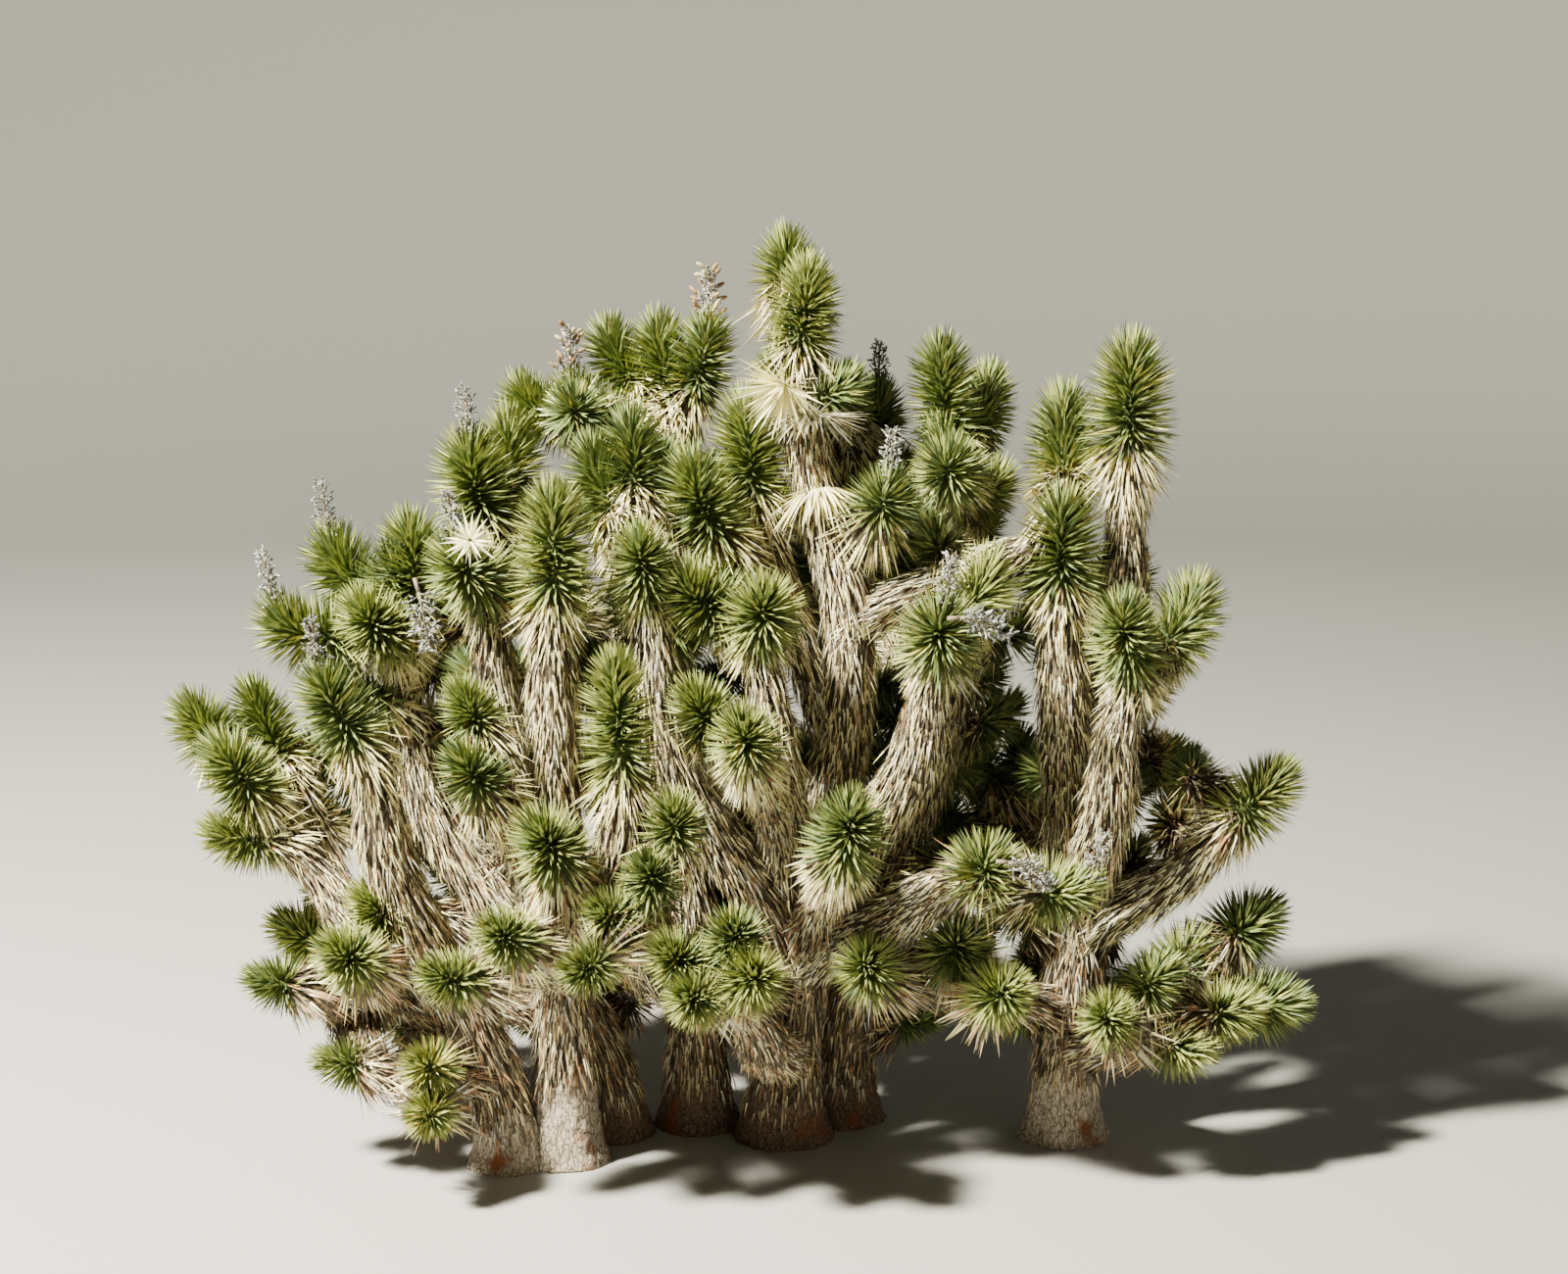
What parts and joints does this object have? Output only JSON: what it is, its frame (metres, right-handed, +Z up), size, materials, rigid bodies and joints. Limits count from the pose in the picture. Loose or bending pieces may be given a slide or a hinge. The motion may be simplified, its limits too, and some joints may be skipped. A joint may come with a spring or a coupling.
{
  "type": "tree yucca clump",
  "caption": "Many-stemmed desert yucca rooted in the ground, with shaggy thatched limbs that fork low and end in round heads of stiff green leaves.",
  "frame": {"origin": "centre of the main trunk's flat cut at ground level", "axes": "+Z up; +X to the right and +Y away as seen from the front, the side of the picture"},
  "size_m": [5.016, 2.9798, 4.0468],
  "materials": {
    "bark": "rough, fissured",
    "thatch": "dry, matte",
    "leaves": "satin",
    "stalks": "weathered, matte",
    "pods": "dry, matte"
  },
  "bodies": {
    "root": {"trunk_main": "bark", "trunk_left": "bark", "trunk_left_leaning": "bark", "trunk_right": "bark", "trunk_back": "bark", "trunk_back_left": "bark", "trunk_back_right": "bark", "bough_top": "thatch", "bough_far_left": "thatch", "bough_left_crown": "thatch", "bough_left_front": "thatch", "bough_centre_left": "thatch", "bough_centre": "thatch", "bough_front_left": "thatch", "bough_front_low": "thatch", "bough_front_right": "thatch", "bough_centre_right": "thatch", "bough_cross": "thatch", "bough_right_low": "thatch", "bough_right_arm": "thatch", "bough_right_column": "thatch", "bough_right_front": "thatch", "heads_top": "leaves", "heads_far_left": "leaves", "heads_far_left_high": "leaves", "heads_left_low": "leaves", "heads_left_foot": "leaves", "heads_left_leaning": "leaves", "heads_upper_left": "leaves", "heads_left_crown": "leaves", "heads_left_inner": "leaves", "heads_left_front_low": "leaves", "heads_left": "leaves", "heads_left_front": "leaves", "heads_front_left": "leaves", "heads_centre_left": "leaves", "heads_back_crown_left": "leaves", "heads_crown_middle": "leaves", "heads_centre": "leaves", "heads_front_middle": "leaves", "heads_front_low": "leaves", "heads_front_high": "leaves", "heads_crown_right": "leaves", "heads_back_crown_right": "leaves", "heads_cross": "leaves", "heads_right_column": "leaves", "heads_right_tall": "leaves", "heads_centre_right": "leaves", "heads_right_front": "leaves", "heads_right_arm": "leaves", "heads_right_low": "leaves", "heads_right_foot": "leaves", "heads_front_right": "leaves", "heads_right_shade": "leaves", "heads_right_back": "leaves", "heads_back_low_left": "leaves", "heads_back_low": "leaves", "heads_back_low_right": "leaves", "heads_back_left": "leaves", "heads_back_right": "leaves"}
  },
  "joints": []
}
